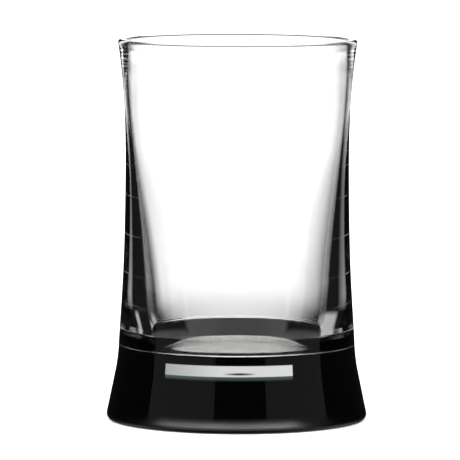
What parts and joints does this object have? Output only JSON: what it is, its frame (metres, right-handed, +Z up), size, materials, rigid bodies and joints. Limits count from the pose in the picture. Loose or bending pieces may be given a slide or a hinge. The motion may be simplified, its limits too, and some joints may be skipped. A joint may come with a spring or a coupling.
{
  "type": "whiskey tumbler",
  "caption": "Thick-walled clear glass whiskey tumbler with a waisted side, bonded to a solid flared black glass base, for cold drinks.",
  "frame": {"origin": "centre of the circle that the tumbler stands on, on the axis, at the level of the standing ring", "axes": "+Z up along the axis of revolution, from the base to the rim; +X and +Y are arbitrary because the tumbler is round"},
  "size_m": [0.0788, 0.0788, 0.115],
  "materials": {
    "clear_glass": "clear colourless glass, fire-polished, smooth",
    "bond_adhesive": "clear cured adhesive film",
    "black_glass": "opaque black glass, polished to a mirror gloss"
  },
  "bodies": {
    "root": {"clear_vessel": "clear_glass", "bond_film": "bond_adhesive", "black_base": "black_glass"}
  },
  "joints": []
}
